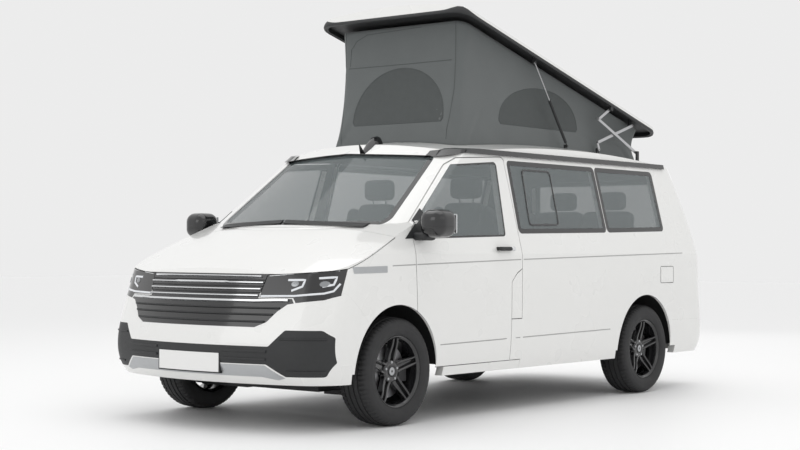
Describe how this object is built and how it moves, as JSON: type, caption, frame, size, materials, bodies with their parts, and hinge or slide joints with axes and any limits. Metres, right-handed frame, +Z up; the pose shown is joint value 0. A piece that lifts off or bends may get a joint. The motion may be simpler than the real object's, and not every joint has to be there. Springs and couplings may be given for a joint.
{
  "type": "camper van",
  "caption": "White panel camper van with a raised pop-up roof, grey tent sides, rear bench, tailgate, sliding side door and black wheels.",
  "frame": {"origin": "on the ground, halfway along the body and across it", "axes": "+X forward, +Y to the van's left, +Z up"},
  "size_m": [4.9045, 2.298, 2.802],
  "materials": {
    "body_paint": "glossy white paint",
    "black_trim": "grained black plastic",
    "gloss_trim": "gloss black",
    "underbody": "dark underbody coat",
    "liner": "felted dark liner",
    "seat_cloth": "dark grey woven cloth",
    "tent_cloth": "grey woven tent cloth",
    "glass": "tinted safety glass",
    "head_lamp": "clear lamp cover over a dark reflector",
    "tail_lamp": "clear red",
    "grille_trim": "gloss black with chrome strips",
    "engine_metal": "cast",
    "chassis_metal": "black coated",
    "rim_paint": "gloss black with a bright brake disc behind",
    "tyre_rubber": "black tread rubber",
    "wheel_leather": "smooth black leather",
    "arm_metal": "satin"
  },
  "bodies": {
    "van": {"bumper_insert": "black_trim", "dashboard": "black_trim", "engine_block": "engine_metal", "floor_pan": "underbody", "front_bumper": "body_paint", "front_seats": "seat_cloth", "front_subframe": "chassis_metal", "front_wings": "body_paint", "grille": "grille_trim", "head_lamps": "head_lamp", "rear_axle": "chassis_metal", "rear_bench": "seat_cloth", "rear_bumper": "body_paint", "roof_brackets": "arm_metal", "roof_panel": "body_paint", "roof_rails": "gloss_trim", "side_panel_left": "body_paint", "side_panel_right": "body_paint", "side_windows": "glass", "sliding_door": "body_paint", "tail_lamps": "tail_lamp", "tent": "tent_cloth", "wheel_housings": "liner", "windscreen": "glass", "wipers": "black_trim"},
    "steering_wheel": {"steering_wheel": "wheel_leather"},
    "knuckle_left": {"knuckle_left": "chassis_metal"},
    "knuckle_right": {"knuckle_right": "chassis_metal"},
    "wheel_front_left": {"tyre_front_left": "tyre_rubber", "rim_front_left": "rim_paint"},
    "wheel_front_right": {"tyre_front_right": "tyre_rubber", "rim_front_right": "rim_paint"},
    "wheel_rear_left": {"tyre_rear_left": "tyre_rubber", "rim_rear_left": "rim_paint"},
    "wheel_rear_right": {"tyre_rear_right": "tyre_rubber", "rim_rear_right": "rim_paint"},
    "door_left": {"door_left": "body_paint", "door_window_left": "glass", "door_fittings_left": "black_trim"},
    "door_right": {"door_right": "body_paint", "door_window_right": "glass", "door_fittings_right": "black_trim"},
    "filler_flap": {"filler_flap": "body_paint"},
    "tailgate": {"tailgate": "body_paint", "tailgate_window": "glass"},
    "bonnet": {"bonnet": "body_paint"},
    "long_arms": {"long_arms": "arm_metal"},
    "cross_arms": {"cross_arms": "arm_metal"},
    "lid": {"lid": "body_paint", "lid_fittings": "arm_metal"},
    "lower_links": {"lower_links": "arm_metal"},
    "upper_links": {"upper_links": "arm_metal"},
    "strut_barrels": {"strut_barrels": "gloss_trim"},
    "strut_rods": {"strut_rods": "arm_metal"}
  },
  "joints": [
    {"name": "steer_left", "type": "hinge", "parent": "van", "child": "knuckle_left", "pos_m": [1.544, 0.76191, 0.198], "axis": [0, -0.2079, 0.9781], "range_deg": [-33, 33]},
    {"name": "steer_right", "type": "hinge", "parent": "van", "child": "knuckle_right", "pos_m": [1.544, -0.76191, 0.198], "axis": [0, 0.2079, 0.9781], "range_deg": [-33, 33]},
    {"name": "steering_turn", "type": "hinge", "parent": "van", "child": "steering_wheel", "pos_m": [0.905, 0.4, 1.095], "axis": [-0.8829, 0, 0.4695], "range_deg": [-495, 495]},
    {"name": "spin_front_left", "type": "hinge", "parent": "knuckle_left", "child": "wheel_front_left", "pos_m": [1.544, 0.814, 0.336], "axis": [0, 1, 0], "continuous": true},
    {"name": "spin_front_right", "type": "hinge", "parent": "knuckle_right", "child": "wheel_front_right", "pos_m": [1.544, -0.814, 0.336], "axis": [0, 1, 0], "continuous": true},
    {"name": "spin_rear_left", "type": "hinge", "parent": "van", "child": "wheel_rear_left", "pos_m": [-1.456, 0.814, 0.336], "axis": [0, 1, 0], "continuous": true},
    {"name": "spin_rear_right", "type": "hinge", "parent": "van", "child": "wheel_rear_right", "pos_m": [-1.456, -0.814, 0.336], "axis": [0, 1, 0], "continuous": true},
    {"name": "door_left_swing", "type": "hinge", "parent": "van", "child": "door_left", "pos_m": [1.404, 0.952, 0.72], "axis": [0, 0, -1], "range_deg": [0, 70]},
    {"name": "door_right_swing", "type": "hinge", "parent": "van", "child": "door_right", "pos_m": [1.404, -0.952, 0.72], "axis": [0, 0, 1], "range_deg": [0, 70]},
    {"name": "filler_flap_swing", "type": "hinge", "parent": "van", "child": "filler_flap", "pos_m": [0.248, 0.951, 0.76], "axis": [0, 0, 1], "range_deg": [0, 90]},
    {"name": "tailgate_swing", "type": "hinge", "parent": "van", "child": "tailgate", "pos_m": [-2.172, 0, 1.812], "axis": [0, 1, 0], "range_deg": [0, 85]},
    {"name": "bonnet_swing", "type": "hinge", "parent": "van", "child": "bonnet", "pos_m": [1.6, 0, 1.3], "axis": [0, -1, 0], "range_deg": [0, 58]},
    {"name": "roof_lift", "type": "hinge", "parent": "van", "child": "long_arms", "pos_m": [-1.8008, 0, 1.8663], "axis": [0, 1, 0], "range_deg": [0, 21.77], "deforming": ["tent"]},
    {"name": "cross_swing", "type": "hinge", "parent": "long_arms", "child": "cross_arms", "pos_m": [-1.4891, 0, 1.99306], "axis": [0, 1, 0], "range_deg": [-39.08, 0]},
    {"name": "lid_tilt", "type": "hinge", "parent": "cross_arms", "child": "lid", "pos_m": [-1.7653, 0, 2.07925], "axis": [0, 1, 0], "range_deg": [0, 32.06]},
    {"name": "lower_link_swing", "type": "hinge", "parent": "van", "child": "lower_links", "pos_m": [-1.289, 0, 1.8663], "axis": [0, 1, 0], "range_deg": [0, 63.23]},
    {"name": "upper_link_swing", "type": "hinge", "parent": "lid", "child": "upper_links", "pos_m": [-1.3856, 0, 2.18022], "axis": [0, 1, 0], "range_deg": [-42.88, 0]},
    {"name": "strut_swing", "type": "hinge", "parent": "van", "child": "strut_barrels", "pos_m": [-0.816, 0, 1.8663], "axis": [0, 1, 0], "range_deg": [0, 52.7]},
    {"name": "strut_slide", "type": "slide", "parent": "strut_barrels", "child": "strut_rods", "axis": [0.595, 0, 0.8037], "range_m": [-0.233, 0]}
  ],
  "couplings": [
    {"joint": "steer_right", "follows": "steer_left", "ratio": 1},
    {"joint": "steering_turn", "follows": "steer_left", "ratio": 15},
    {"joint": "cross_swing", "follows": "roof_lift", "ratio": -1.7926},
    {"joint": "lid_tilt", "follows": "roof_lift", "ratio": 1.4699},
    {"joint": "lower_link_swing", "follows": "roof_lift", "ratio": 2.9017},
    {"joint": "upper_link_swing", "follows": "roof_lift", "ratio": -1.9673},
    {"joint": "strut_swing", "follows": "roof_lift", "ratio": 2.4182},
    {"joint": "strut_slide", "follows": "roof_lift", "m_per_rad": -0.61259}
  ]
}
